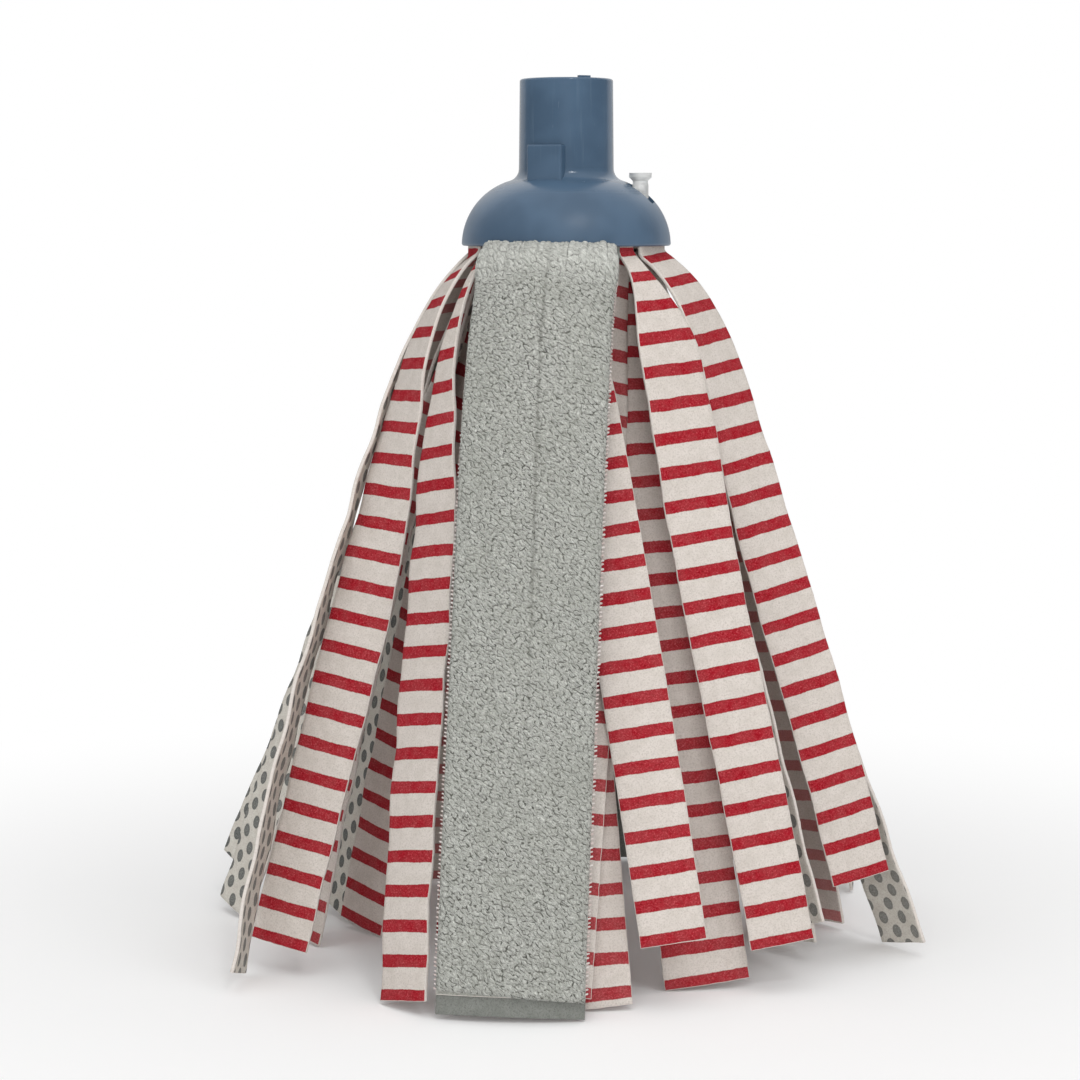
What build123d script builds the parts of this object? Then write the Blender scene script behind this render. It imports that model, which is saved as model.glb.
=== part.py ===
from build123d import *
import os
from math import sin, cos, sqrt, radians

os.makedirs("parts", exist_ok=True)

# All sizes in mm. Z is up from the floor, the front of the mop looks to -Y.

# Cap
rim_height = 225.6
rim_radius = 33.5
cap_wall = 2.5
dome_radius = 21.5
neck_radius = 15.2
neck_top_radius = 14.85
neck_rise = 31.4
neck_fillet = 4.0
edge_round = 0.8
gate_mark_height = 0.6

# Handle socket
socket_radius = 11.75
socket_depth = 30.4
socket_floor = 2.6
snap_room = 4.0
snap_room_radius = 8.0

# Latch pocket for the handle's spring button
latch_angle = -25.0
latch_width = 12.0
latch_rise = 10.5
latch_reach = 17.3
pocket_width = 7.0
pocket_height = 6.0
pocket_wall = 1.8

# Retainer that wedges the strip heads into the cap
heads_thickness = 8.1
retainer_wall = 2.4
retainer_disc = 2.5
retainer_recess = 0.5
retainer_wall_rise = 11.0
spigot_radius = 5.0
spigot_bore = 3.0
snap_overhang = 1.0
snap_height = 3.0
snap_slot = 1.4
rib_count = 6
rib_width = 1.8
rib_depth = 4.0

# Peg that stands in an opening in the shoulder
peg_angle = 80.0
peg_offset = 23.9
peg_radius = 2.6
peg_head_radius = 3.6
peg_rise = 5.1
peg_slot_length = 9.2
peg_slot_width = 11.0
peg_slot_corner = 1.0

# Cloth
strip_thickness = 1.2
strip_width = 20.0
wide_strip_width = 26.5
band_width = 44.0
band_root_width = 43.0
backing_thickness = 1.2
pile_thickness = 4.0
backing_tail = 3.0
layer_gap = 0.4
hang_radius = 90.0
spread = 100.0
band_fold_width = 8.0
band_root_angle = -12.0
band_tip_angle = -9.9
band_bulge = 6.0

# Fits
seat_gap = 0.2
hang_gap = 0.3
fold_inset = 0.4
spigot_fit = 0.2
heads_below_rim = 1.0


def polar(angle, radius, z):
    a = radians(angle)
    return Vector(radius * sin(a), -radius * cos(a), z)


def save(shape, name):
    export_step(shape, "parts/" + name + ".step")


# The dome is a quarter circle whose centre sits on the rim plane.
dome_centre = rim_radius - dome_radius
inner_radius = dome_radius - cap_wall
tube_radius = socket_radius + cap_wall


def dome_z(radius, arc):
    return rim_height + sqrt(arc * arc - (radius - dome_centre) ** 2)


def dome_mid(arc, turn):
    return (dome_centre + arc * cos(radians(turn)), rim_height + arc * sin(radians(turn)))


neck_base = dome_z(neck_radius, dome_radius)
cap_top = neck_base + neck_rise
socket_bottom = cap_top - socket_depth
snap_floor = socket_bottom - snap_room
tube_bottom = snap_floor - socket_floor
hub_radius = spigot_radius + spigot_fit
heads_outer = rim_radius - cap_wall - seat_gap
heads_inner = heads_outer - heads_thickness
retainer_radius = heads_inner - seat_gap


def make_cap():
    outer_foot = (neck_radius, neck_base)
    inner_foot = (tube_radius, dome_z(tube_radius, inner_radius))
    with BuildPart() as cap:
        with BuildSketch(Plane.XZ):
            with BuildLine():
                ThreePointArc((rim_radius, rim_height), dome_mid(dome_radius, 40), outer_foot)
                Polyline(
                    outer_foot,
                    (neck_top_radius, cap_top),
                    (socket_radius, cap_top),
                    (socket_radius, socket_bottom),
                    (snap_room_radius, socket_bottom),
                    (snap_room_radius, snap_floor),
                    (hub_radius, snap_floor),
                    (hub_radius, tube_bottom),
                    (tube_radius, tube_bottom),
                    inner_foot,
                )
                rim_inner = rim_radius - cap_wall
                ThreePointArc(inner_foot, dome_mid(inner_radius, 40), (rim_inner, rim_height))
                Line((rim_inner, rim_height), (rim_radius, rim_height))
            make_face()
        revolve(axis=Axis.Z)
        foot = cap.edges().filter_by(GeomType.CIRCLE).filter_by_position(
            Axis.Z, neck_base - 0.01, neck_base + 0.01
        )
        fillet(foot, neck_fillet)
        top = cap.edges().filter_by(GeomType.CIRCLE).filter_by_position(
            Axis.Z, cap_top - 0.01, cap_top + 0.01
        )
        fillet(top, edge_round)
        rim = cap.edges().filter_by(GeomType.CIRCLE).filter_by_position(
            Axis.Z, rim_height - 0.01, rim_height + 0.01
        )
        fillet(rim, edge_round)
    body = cap.part

    # Raised block low on the neck, with the pocket behind it.
    block_top = neck_base + latch_rise
    block_depth = latch_reach - socket_radius - 1.0
    block = Box(latch_width, block_depth, latch_rise + 6, align=(Align.CENTER, Align.MIN, Align.MAX))
    block = fillet(block.edges().filter_by(Axis.Z).group_by(Axis.Y)[0], edge_round)
    block = fillet(block.edges().group_by(Axis.Z)[-1].filter_by(Axis.X).group_by(Axis.Y)[0], edge_round)
    block = Pos(0, -latch_reach, block_top) * block
    pocket = Box(pocket_width, latch_reach, pocket_height, align=(Align.CENTER, Align.MIN, Align.MAX))
    pocket = Pos(0, -latch_reach + pocket_wall, block_top - pocket_wall) * pocket
    body = body + Rot(0, 0, latch_angle) * block
    pocket = pocket - Cylinder(socket_radius - 1.0, 4 * cap_top)
    half = Box(latch_width, latch_reach, 2 * cap_top, align=(Align.CENTER, Align.MAX, Align.MIN))
    body = body - Rot(0, 0, latch_angle) * (pocket & half)

    # Opening through the shoulder that the peg stands in.
    seat = polar(peg_angle, peg_offset, dome_z(peg_offset, dome_radius))
    slot = Box(peg_slot_length, peg_slot_width, 8 * cap_wall)
    slot = fillet(slot.edges().filter_by(Axis.Z), peg_slot_corner)
    body = body - Pos(seat.X, seat.Y, seat.Z) * Rot(0, 0, peg_angle - 90) * slot

    # Gate mark left on the neck's top edge.
    mark = Box(4.0, 1.2, 2 * gate_mark_height)
    mark_radius = (neck_top_radius + socket_radius) / 2
    body = body + Rot(0, 0, 24) * Pos(0, -mark_radius, cap_top) * mark
    return body


def make_retainer():
    low = rim_height + retainer_recess
    disc_top = low + retainer_disc
    wall_top = low + retainer_wall_rise
    snap_base = snap_floor + seat_gap
    snap_radius = hub_radius + snap_overhang
    inner = retainer_radius - retainer_wall
    with BuildPart() as part:
        with BuildSketch(Plane.XZ):
            with BuildLine():
                Polyline(
                    (spigot_bore, low),
                    (retainer_radius, low),
                    (retainer_radius, wall_top),
                    (inner, wall_top),
                    (inner, disc_top),
                    (spigot_radius, disc_top),
                    (spigot_radius, snap_base),
                    (snap_radius, snap_base),
                    (spigot_radius - 0.4, snap_base + snap_height),
                    (spigot_bore, snap_base + snap_height),
                    (spigot_bore, low),
                )
            make_face()
        revolve(axis=Axis.Z)
    body = part.part
    slot_depth = snap_base + snap_height - disc_top - 2.0
    slot = Box(4 * snap_radius, snap_slot, slot_depth, align=(Align.CENTER, Align.CENTER, Align.MAX))
    slot = Pos(0, 0, snap_base + snap_height) * slot
    slots = slot + Rot(0, 0, 90) * slot
    keep = Cylinder(spigot_radius + snap_overhang + 1.0, 4 * cap_top)
    body = body - (slots & keep)
    rib_length = inner - spigot_radius + 1.0
    rib = Box(rib_length, rib_width, rib_depth, align=(Align.MIN, Align.CENTER, Align.MIN))
    rib = Pos(spigot_radius - 0.5, 0, disc_top - 0.5) * rib
    for i in range(rib_count):
        body = body + Rot(0, 0, 30 + i * 360 / rib_count) * rib
    return body


heads_low = rim_height - heads_below_rim
heads_arc = inner_radius - seat_gap
peg_foot = dome_z(peg_offset, inner_radius) + seat_gap


def make_heads():
    # The strips' upper ends, pressed into one ring between cap and retainer.
    top = dome_z(heads_inner, heads_arc)
    with BuildPart() as part:
        with BuildSketch(Plane.XZ):
            with BuildLine():
                ThreePointArc((heads_outer, rim_height), dome_mid(heads_arc, 25), (heads_inner, top))
                Polyline(
                    (heads_inner, top),
                    (heads_inner, heads_low),
                    (heads_outer, heads_low),
                    (heads_outer, rim_height),
                )
            make_face()
        revolve(axis=Axis.Z)
    place = polar(peg_angle, peg_offset, 0)
    dent = Cylinder(peg_radius + seat_gap, top, align=(Align.CENTER, Align.CENTER, Align.MIN))
    return part.part - Pos(place.X, place.Y, peg_foot - seat_gap) * dent


def make_peg():
    foot = peg_foot
    skin = dome_z(peg_offset, dome_radius)
    head = skin + peg_rise
    lip = 1.3
    with BuildPart() as part:
        with BuildSketch(Plane.XZ):
            with BuildLine():
                Polyline(
                    (0, foot),
                    (peg_radius, foot),
                    (peg_radius, skin + 1.4),
                    (peg_radius - 0.2, skin + 1.8),
                    (peg_radius - 0.2, skin + 2.6),
                    (peg_head_radius, head - lip),
                    (peg_head_radius, head),
                    (peg_head_radius - 0.9, head),
                    (peg_radius - 1.0, head - 2.0),
                    (0, head - 2.0),
                    (0, foot),
                )
            make_face()
        revolve(axis=Axis.Z)
    place = polar(peg_angle, peg_offset, 0)
    return Pos(place.X, place.Y, 0) * part.part


# Cloth that hangs from the ring of heads. Each piece runs from a root at the
# rim to a tip near the floor, along a curve bowed by its belly and its sway.
# The outer pieces also bulge over the shoulder just below the rim.
layer_step = strip_thickness + layer_gap
first_layer = heads_outer - strip_thickness / 2
trim_height = heads_low - seat_gap
bulge_peak = (1 / 7) * (6 / 7) ** 6


def ease(x):
    x = min(max(x, 0.0), 1.0)
    return x * x * (3 - 2 * x)


class Hang:
    def __init__(self, root, layer, tip, reach, lift, face, belly, root_width,
                 width=strip_width, widens=0.25, sway=0.0, free=False, bulge=0.0):
        self.root_angle = root
        self.face_angle = face
        self.root_radius = first_layer - layer * layer_step
        self.start = polar(root, self.root_radius, trim_height)
        self.end = polar(tip, spread + reach, lift)
        self.root_width = root_width
        self.width = width
        self.widens = widens
        self.free = free
        self.bulge = bulge
        self.bow(belly, sway)
        # The tip's height is that of its lowest corner.
        slope = Vector(0, 0, 1).dot(self.along(1).cross(self.across(1)))
        low = abs(self.across(1).Z) * width / 2 + abs(slope) * strip_thickness / 2
        self.end = polar(tip, spread + reach, lift + low)
        self.bow(belly, sway)
        if free:
            # The fold hangs clear of the heads over its whole width.
            drop = strip_thickness / 2 + abs(self.across(0).Z) * root_width / 2
            self.start = polar(root, self.root_radius, heads_low - hang_gap - drop)
            self.bow(belly, sway)

    def bow(self, belly, sway):
        chord = self.end - self.start
        flat = Vector(chord.X, chord.Y, 0)
        ahead = flat.normalized()
        rise = Vector(ahead.X * -chord.Z, ahead.Y * -chord.Z, flat.length) * (1 / chord.length)
        aside = Vector(-ahead.Y, ahead.X, 0)
        self.bend = (self.start + self.end) * 0.5 + rise * (2 * belly) + aside * (2 * sway)
        away = polar(self.root_angle, 1, 0)
        self.shoulder = (away * -chord.Z + Vector(0, 0, flat.length)) * (self.bulge / bulge_peak / chord.length)

    def point(self, t):
        bowed = self.start * (1 - t) ** 2 + self.bend * (2 * t * (1 - t)) + self.end * (t * t)
        return bowed + self.shoulder * (t * (1 - t) ** 6)

    def along(self, t):
        step = ((self.bend - self.start) * (1 - t) + (self.end - self.bend) * t) * 2
        return (step + self.shoulder * ((1 - t) ** 5 * (1 - 7 * t))).normalized()

    def across(self, t):
        face = self.root_angle + (self.face_angle - self.root_angle) * ease(t / 0.6)
        return polar(face, 1, 0).cross(self.along(t)).normalized()

    def breadth(self, t):
        return self.root_width + (self.width - self.root_width) * ease(t / self.widens)

    def curve(self, t):
        start = 0.0 if self.free and self.root_width < band_root_width else 1 / self.root_radius
        return start + (1 / hang_radius - start) * ease(t / 0.5)

    def section(self, t, thickness, offset):
        plane = Plane(origin=self.point(t), x_dir=self.across(t), z_dir=self.along(t))
        half = self.breadth(t) / 2
        sag = max(self.curve(t) * half * half / 2, 0.02)
        high = offset + thickness / 2
        low = offset - thickness / 2
        with BuildSketch(plane) as sketch:
            with BuildLine():
                ThreePointArc((-half, high - sag), (0, high), (half, high - sag))
                Line((half, high - sag), (half, low - sag))
                ThreePointArc((half, low - sag), (0, low), (-half, low - sag))
                Line((-half, low - sag), (-half, high - sag))
            make_face()
        return sketch.sketch.faces()[0]

    def cloth(self, stops, thickness, offset=0.0):
        return Solid.make_loft([self.section(t, thickness, offset).outer_wire() for t in stops])

    def fold(self, thickness, width):
        # The round fold that the piece swings on, on its hinge line.
        plane = Plane(origin=self.start, z_dir=self.across(0))
        return plane * Cylinder(thickness / 2, width)


free_stops = (0.0, 0.06, 0.13, 0.22, 0.35, 0.55, 0.78, 1.0)
fixed_stops = (-0.02, 0.12, 0.3, 0.55, 0.8, 1.0)

# name, root angle, layer, tip angle, reach past the spread, tip height, face angle, belly, root width
striped = [
    ("a", -75, 0, -61.5, 2.6, 7.5, -25, 3, 14),
    ("b", -77, 1.8, -83, -13, 0, -50, 5, 8),
    ("c", -58, 0.2, -29.3, 1, 0.8, -45, 3, 3),
    ("d", -58, 3.0, -90, -32, 0, -45, 1, 16),
    ("e", -43, 1.2, -19.4, -10, 21, -15, 0, 16),
    ("f", 30, 2.2, -2, -6, 5, 0, -1.5, 16),
    ("g", -16, 3.2, 6, -11, 0, 5, -2, 16),
    ("h", -8, 1.1, 20, -8, 18.5, 5, 2.5, 16),
    ("i", 36, 4.4, 33, -21, 0, 10, 0, 16),
    ("j", 37, 0, 43, -4, 13.5, 12, 3, 6),
    ("k", 62, 0, 66.7, 1, 26, 22, 5, 17),
]
dotted = [
    ("a", -97, -0.2, -59, 19, 0.6, -94.4, 6.4, 4),
    ("b", -78, 4.3, -103, -22, 0, -60, 1, 16),
    ("c", -118, 3.3, -107, 17, 11, -50, 0, 12),
    ("d", -116, 2.2, -101, 14, 0, -55, 5, 12),
]
free_striped = {"a": 0.3, "c": 0.45, "j": 0.3, "k": 0.25}
free_dotted = {"a": 0.8}
side_sway = {("striped", "c"): -4.0, ("dotted", "a"): -7.0}
bulges = {
    ("striped", "a"): 8.0,
    ("striped", "c"): 6.5,
    ("striped", "j"): 8.0,
    ("striped", "k"): 8.0,
    ("dotted", "a"): 5.5,
}

# The tails on the far side of the same strips hang a little differently.
far_side = {
    ("striped", "j"): dict(tip=35, face=28),
    ("striped", "k"): dict(root=57, tip=50, face=42, widens=0.6, root_width=12),
    ("dotted", "c"): dict(tip=-119, reach=-15),
    ("dotted", "d"): dict(root=-115, tip=-101, reach=11.5, belly=2),
}


def make_strips(kind, rows, free):
    for side, turn in (("front", 0), ("back", 180)):
        for name, root, layer, tip, reach, lift, face, belly, root_width in rows:
            change = far_side.get((kind, name), {}) if turn else {}
            root_width = change.get("root_width", root_width)
            wide = wide_strip_width if (kind, name) == ("striped", "i") else strip_width
            hang = Hang(
                change.get("root", root) + turn,
                layer,
                change.get("tip", tip) + turn,
                change.get("reach", reach),
                lift,
                change.get("face", face) + turn,
                change.get("belly", belly),
                root_width,
                wide,
                change.get("widens", free.get(name, 0.25)),
                side_sway.get((kind, name), 0.0),
                name in free,
                bulges.get((kind, name), 0.0),
            )
            if hang.free:
                fold = hang.fold(strip_thickness, root_width - 2 * fold_inset)
                cloth = Part() + hang.cloth(free_stops, strip_thickness) + fold
            else:
                above = Pos(0, 0, trim_height) * Cylinder(
                    rim_radius, cap_top, align=(Align.CENTER, Align.CENTER, Align.MIN)
                )
                cloth = Part() + hang.cloth(fixed_stops, strip_thickness) - above
            save(cloth, kind + "_strip_" + side + "_" + name)


def make_bands():
    for side, turn in (("front", 0), ("back", 180)):
        hang = Hang(band_root_angle + turn, -0.5, band_tip_angle + turn, 1, 0.6, -3 + turn, 5, band_root_width,
                    band_width, 0.25, 0.0, True, band_bulge)
        stops = (0.0, 0.05, 0.1, 0.16, 0.24, 0.34, 0.48, 0.62, 0.76, 0.88, 1.0)
        backing = hang.cloth(stops, backing_thickness)
        backing = Part() + backing + hang.fold(backing_thickness, band_fold_width)
        save(backing, "scrub_band_" + side + "_backing")
        length = (hang.end - hang.start).length
        stop = 1 - backing_tail / length
        lift = backing_thickness / 2 + hang_gap
        sections = []
        for t in (0.03, 0.06, 0.1, 0.16, 0.24, 0.34, 0.48, 0.62, 0.76, 0.88, stop):
            # The pile thins out to the fold so that it clears the rim.
            thick = pile_thickness * (0.3 + 0.7 * ease((t - 0.03) / 0.1))
            sections.append(hang.section(t, thick, lift + thick / 2).outer_wire())
        save(Solid.make_loft(sections), "scrub_band_" + side + "_pile")


save(make_cap(), "socket_cap")
save(make_retainer(), "strip_retainer")
save(make_heads(), "gathered_heads")
save(make_peg(), "hanger_peg")
make_bands()
make_strips("striped", striped, free_striped)
make_strips("dotted", dotted, free_dotted)
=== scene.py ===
import math
import random
import bpy
import numpy as np
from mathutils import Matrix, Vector, noise


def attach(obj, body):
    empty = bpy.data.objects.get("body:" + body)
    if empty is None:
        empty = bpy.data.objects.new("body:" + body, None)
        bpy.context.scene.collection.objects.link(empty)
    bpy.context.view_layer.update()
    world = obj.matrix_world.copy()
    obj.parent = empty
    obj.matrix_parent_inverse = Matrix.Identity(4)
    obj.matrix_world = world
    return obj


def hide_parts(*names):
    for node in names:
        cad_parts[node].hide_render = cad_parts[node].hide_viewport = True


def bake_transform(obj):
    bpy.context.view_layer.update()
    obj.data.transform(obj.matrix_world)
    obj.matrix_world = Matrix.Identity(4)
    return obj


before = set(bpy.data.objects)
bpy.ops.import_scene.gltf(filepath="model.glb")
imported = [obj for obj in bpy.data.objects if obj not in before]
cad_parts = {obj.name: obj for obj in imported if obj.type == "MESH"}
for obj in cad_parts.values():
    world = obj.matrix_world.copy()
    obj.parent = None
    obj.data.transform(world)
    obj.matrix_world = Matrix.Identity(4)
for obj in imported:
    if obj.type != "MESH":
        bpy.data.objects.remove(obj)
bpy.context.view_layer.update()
mm = 0.001
print("frame loaded:", len(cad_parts), "nodes")


def deselectAll():
    if bpy.context.object and bpy.context.object.mode != "OBJECT":
        bpy.ops.object.mode_set(mode="OBJECT")
    bpy.ops.object.select_all(action="DESELECT")


def applyModifier(piece, kind, **settings):
    bpy.context.view_layer.objects.active = piece
    modifier = piece.modifiers.new(kind.title(), kind)
    for name, value in settings.items():
        setattr(modifier, name, value)
    bpy.ops.object.modifier_apply(modifier=modifier.name)


def smoothByAngle(piece, degrees):
    deselectAll()
    piece.select_set(True)
    bpy.context.view_layer.objects.active = piece
    bpy.ops.object.shade_smooth_by_angle(angle=math.radians(degrees))


def ease(x):
    x = min(max(x, 0.0), 1.0)
    return x * x * (3 - 2 * x)


def addNode(tree, kind, inputs=None, **settings):
    node = tree.nodes.new("ShaderNode" + kind)
    for name, value in settings.items():
        setattr(node, name, value)
    for key, value in (inputs or {}).items():
        if isinstance(value, bpy.types.NodeSocket):
            tree.links.new(value, node.inputs[key])
        else:
            node.inputs[key].default_value = value
    return node


def calc(tree, operation, *values, clamp=False):
    return addNode(tree, "Math", dict(enumerate(values)), operation=operation, use_clamp=clamp).outputs[0]


def remap(tree, value, low, high, toLow=0.0, toHigh=1.0):
    inputs = {"Value": value, "From Min": low, "From Max": high, "To Min": toLow, "To Max": toHigh}
    return addNode(tree, "MapRange", inputs, interpolation_type="SMOOTHSTEP").outputs[0]


def mixColour(tree, factor, first, second):
    return addNode(tree, "Mix", {0: factor, 6: first, 7: second}, data_type="RGBA").outputs[2]


def noiseValue(tree, place, scale, detail=2.0, rough=0.5, twist=0.0):
    inputs = {"Vector": place, "Scale": scale, "Detail": detail, "Roughness": rough, "Distortion": twist}
    return addNode(tree, "TexNoise", inputs).outputs[0]


# turned first, then scaled
def stretched(tree, place, scale, turn=0.0):
    inverse = [1 / part for part in scale]
    inputs = {"Vector": place, "Scale": inverse, "Rotation": (0, 0, math.radians(turn))}
    return addNode(tree, "Mapping", inputs, vector_type="TEXTURE").outputs[0]


def srgb(red, green, blue):
    parts = []
    for part in (red, green, blue):
        part /= 255
        parts.append(part / 12.92 if part < 0.04045 else ((part + 0.055) / 1.055) ** 2.4)
    return (*parts, 1.0)


def newGroup(name, inputs, outputs):
    group = bpy.data.node_groups.new(name, "ShaderNodeTree")
    for label, kind, value in inputs:
        socket = group.interface.new_socket(label, in_out="INPUT", socket_type="NodeSocket" + kind)
        if value is not None:
            socket.default_value = value
    for label, kind in outputs:
        group.interface.new_socket(label, in_out="OUTPUT", socket_type="NodeSocket" + kind)
    start = group.nodes.new("NodeGroupInput")
    end = group.nodes.new("NodeGroupOutput")
    return group, start.outputs, end.inputs


def useGroup(tree, group, **inputs):
    return addNode(tree, "Group", inputs, node_tree=group).outputs


def newMaterial(name, **sockets):
    material = bpy.data.materials.new(name)
    material.use_nodes = True
    tree = material.node_tree
    shader = tree.nodes["Principled BSDF"]
    for key, value in sockets.items():
        shader.inputs[key.replace("_", " ")].default_value = value
    return material, tree, shader.inputs


def addBump(tree, height, strength, distance):
    inputs = {"Height": height, "Strength": strength, "Distance": distance}
    return addNode(tree, "Bump", inputs).outputs[0]


# place in mm, pitch in degrees, focal length over picture width
shot = {"place": (-8.4, -860.0, 234.6), "pitch": 6.9, "focalShare": 2666 / 1080, "sensor": 36.0}

cameraData = bpy.data.cameras.new("shotCamera")
cameraData.sensor_width = shot["sensor"]
cameraData.lens = shot["sensor"] * shot["focalShare"]
cameraData.clip_start = 0.01
shotCamera = bpy.data.objects.new("shotCamera", cameraData)
shotCamera.location = Vector(shot["place"]) * mm
shotCamera.rotation_euler = (math.radians(90 - shot["pitch"]), 0, 0)
bpy.context.scene.collection.objects.link(shotCamera)
bpy.context.scene.camera = shotCamera
bpy.context.scene.view_settings.view_transform = "Standard"

# name, place, aimed at, size, watts; only the small one shows in glossy surfaces
softBoxes = [
    ("topBox", (0.1, -0.25, 1.7), (0, 0, 0.1), 1.5, 10.0),
    ("leftBox", (-1.5, -1.1, 0.9), (0, 0, 0.12), 1.1, 2.0),
    ("rightBox", (1.5, -1.2, 0.8), (0, 0, 0.12), 1.1, 2.5),
    ("frontBox", (-0.05, -1.75, 0.5), (0, 0, 0.12), 0.9, 6.5),
    ("glintBox", (0.3, -1.1, 1.2), (0, 0, 0.24), 0.2, 2.6),
]
for name, place, aim, size, watts in softBoxes:
    lamp = bpy.data.lights.new(name, "AREA")
    lamp.size = size
    lamp.energy = watts
    box = bpy.data.objects.new(name, lamp)
    box.visible_glossy = name == "glintBox"
    box.location = place
    box.rotation_euler = (Vector(aim) - Vector(place)).to_track_quat("-Z", "Y").to_euler()
    bpy.context.scene.collection.objects.link(box)

studio = {
    "ambient": 0.36, "frontFill": 0.7, "fillFrom": -0.9, "fillTo": 0.3,
    "frontGloss": 0.2, "backGloss": 0.8, "edgeFrom": 0.45, "edgeTo": 0.58,
    "topGloss": 0.55, "topFrom": 0.1, "topTo": 0.8,
}
world = bpy.data.worlds.new("studio")
bpy.context.scene.world = world
world.use_nodes = True
tree = world.node_tree
tree.nodes.clear()
rays = addNode(tree, "LightPath").outputs
sight = addNode(tree, "SeparateXYZ", {0: addNode(tree, "TexCoord").outputs["Generated"]}).outputs
gloss = remap(tree, sight[1], studio["edgeFrom"], studio["edgeTo"],
              studio["frontGloss"], studio["backGloss"])
above = remap(tree, sight[2], studio["topFrom"], studio["topTo"], 0.0, studio["topGloss"])
gloss = calc(tree, "ADD", gloss, above)
seen = calc(tree, "ADD", rays["Is Camera Ray"], rays["Is Transmission Ray"], clamp=True)
fill = remap(tree, sight[1], studio["fillFrom"], studio["fillTo"], studio["frontFill"], studio["ambient"])
strength = addNode(tree, "Mix", {0: rays["Is Glossy Ray"], 2: fill, 3: gloss}).outputs[0]
strength = addNode(tree, "Mix", {0: seen, 2: strength, 3: 1.0}).outputs[0]
sky = addNode(tree, "Background", {"Color": (1, 1, 1, 1), "Strength": strength}).outputs[0]
addNode(tree, "OutputWorld", {"Surface": sky})

# the floor turns to plain white away from the object
floorLook = {"size": 12.0, "below": 0.0004, "tint": (0.985, 0.985, 0.985, 1), "fadeFrom": 0.06, "fadeTo": 0.4}
deselectAll()
bpy.ops.mesh.primitive_plane_add(size=floorLook["size"], location=(0, 0, -floorLook["below"]))
floor = bpy.context.object
floor.name = "floor"
floorPaper, tree, _ = newMaterial("floorPaper", Roughness=0.9, Specular_IOR_Level=0.1,
                                  Base_Color=floorLook["tint"])
place = addNode(tree, "TexCoord").outputs["Object"]
away = addNode(tree, "VectorMath", {0: place}, operation="LENGTH").outputs["Value"]
fade = remap(tree, away, floorLook["fadeFrom"], floorLook["fadeTo"])
rays = addNode(tree, "LightPath").outputs
shown = calc(tree, "ADD", rays["Is Camera Ray"], rays["Is Glossy Ray"])
shown = calc(tree, "ADD", shown, rays["Is Transmission Ray"], clamp=True)
white = addNode(tree, "Emission", {"Color": (1, 1, 1, 1), "Strength": 1.0}).outputs[0]
paper = tree.nodes["Principled BSDF"].outputs[0]
mixed = addNode(tree, "MixShader", {0: calc(tree, "MULTIPLY", fade, shown), 1: paper, 2: white}).outputs[0]
tree.links.new(mixed, tree.nodes["Material Output"].inputs["Surface"])
floor.data.materials.append(floorPaper)
print("camera, light and floor set")


# the UV map named cloth is in mm: across, and along from the tip or, on the pile, from the top
feltFibres, given, put = newGroup(
    "feltFibres",
    [("Place", "Vector", None), ("Fineness", "Float", 1.0)],
    [("Mottle", "Float"), ("LitSpeck", "Float"), ("PitShade", "Float"), ("Height", "Float")],
)
tree = feltFibres
finer = {0: given["Place"], "Scale": given["Fineness"]}
place = addNode(tree, "VectorMath", finer, operation="SCALE").outputs[0]
mottle = noiseValue(tree, place, 0.16, 3.0, 0.6)
fine = noiseValue(tree, place, 1.25, 3.0, 0.75, 0.6)
slant = noiseValue(tree, stretched(tree, place, (0.6, 2.4, 1), 28), 1.0, 2.0, 0.7, 1.2)
cross = noiseValue(tree, stretched(tree, place, (0.5, 2.2, 1), -40), 1.0, 2.0, 0.7, 1.2)
strands = calc(tree, "MAXIMUM", slant, cross)
height = calc(tree, "MULTIPLY_ADD", strands, 0.7, calc(tree, "MULTIPLY", fine, 0.6))
lit = calc(tree, "MULTIPLY_ADD", strands, 0.5, calc(tree, "MULTIPLY", fine, 0.5))
tree.links.new(mottle, put["Mottle"])
# painted highlight: the specks fall where the fibres stand high in the bump
tree.links.new(remap(tree, lit, 0.52, 0.66), put["LitSpeck"])
# painted shade: high where the fine noise, and with it the felt's surface, is low
tree.links.new(remap(tree, fine, 0.36, 0.54, 1.0, 0.0), put["PitShade"])
tree.links.new(height, put["Height"])

stripePrint, given, put = newGroup(
    "stripePrint",
    [("Place", "Vector", None), ("Pitch", "Float", 10.3), ("Half", "Float", 1.88)],
    [("Ink", "Float"), ("Rim", "Float")],
)
tree = stripePrint
ragged = calc(tree, "SUBTRACT", noiseValue(tree, given["Place"], 1.3, 3.0, 0.7), 0.5)
drift = calc(tree, "SUBTRACT", noiseValue(tree, given["Place"], 0.12, 1.0), 0.5)
along = addNode(tree, "SeparateXYZ", {0: given["Place"]}).outputs[1]
along = calc(tree, "MULTIPLY_ADD", ragged, 0.55, along)
along = calc(tree, "MULTIPLY_ADD", drift, 0.8, along)
apart = calc(tree, "PINGPONG", along, calc(tree, "MULTIPLY", given["Pitch"], 0.5))
over = calc(tree, "SUBTRACT", apart, given["Half"])
tree.links.new(remap(tree, over, -0.14, 0.14, 1.0, 0.0), put["Ink"])
tree.links.new(remap(tree, over, -0.7, -0.1, 0.0, 0.35), put["Rim"])

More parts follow.
